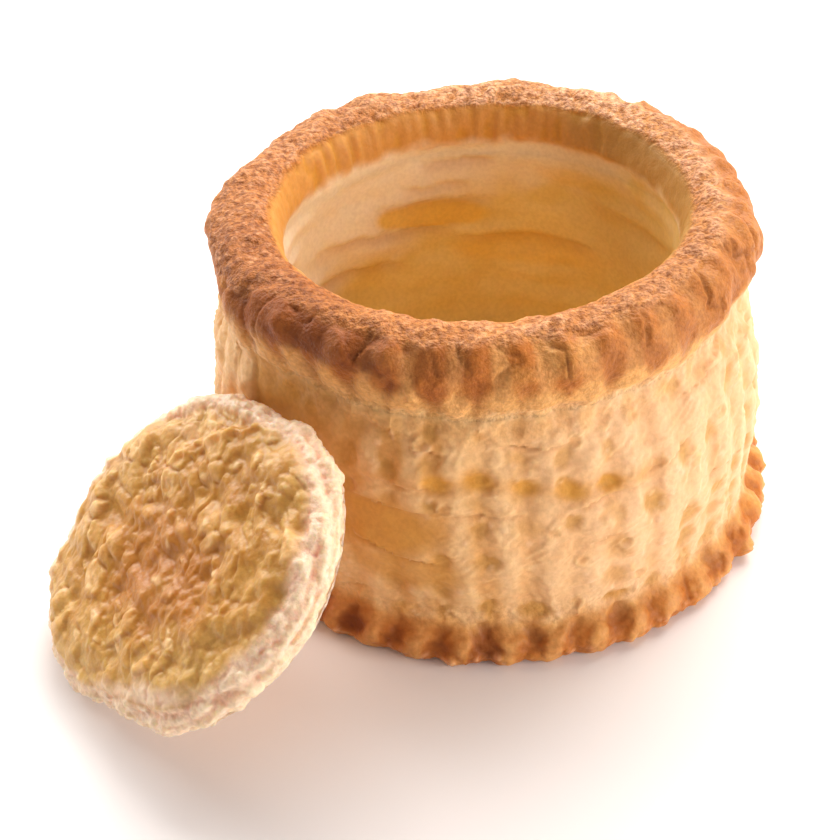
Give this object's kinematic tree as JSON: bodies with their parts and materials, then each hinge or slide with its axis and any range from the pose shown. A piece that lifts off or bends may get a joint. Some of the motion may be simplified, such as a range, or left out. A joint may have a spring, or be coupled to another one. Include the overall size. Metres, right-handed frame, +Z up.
{
  "type": "vol-au-vent",
  "caption": "Tall hollow case of baked puff pastry with a thick crust rim and a fluted foot, open at the top, and its small crumbly lid leaning against its side.",
  "frame": {"origin": "centre of the underside of the case, on the surface it stands on", "axes": "+Z up through the hollow, -Y towards the front, where the camera stands, and +X to the right; the lid leans at the left front"},
  "size_m": [0.1086, 0.1094, 0.0531],
  "materials": {
    "baked_pastry": "matte baked pastry, brown at the rim and foot, creamy yellow on the wall",
    "pale_crumb": "matte crumb, pale yellow, cream at the torn edge"
  },
  "bodies": {
    "root": {"case": "baked_pastry", "lid": "pale_crumb"}
  },
  "joints": []
}
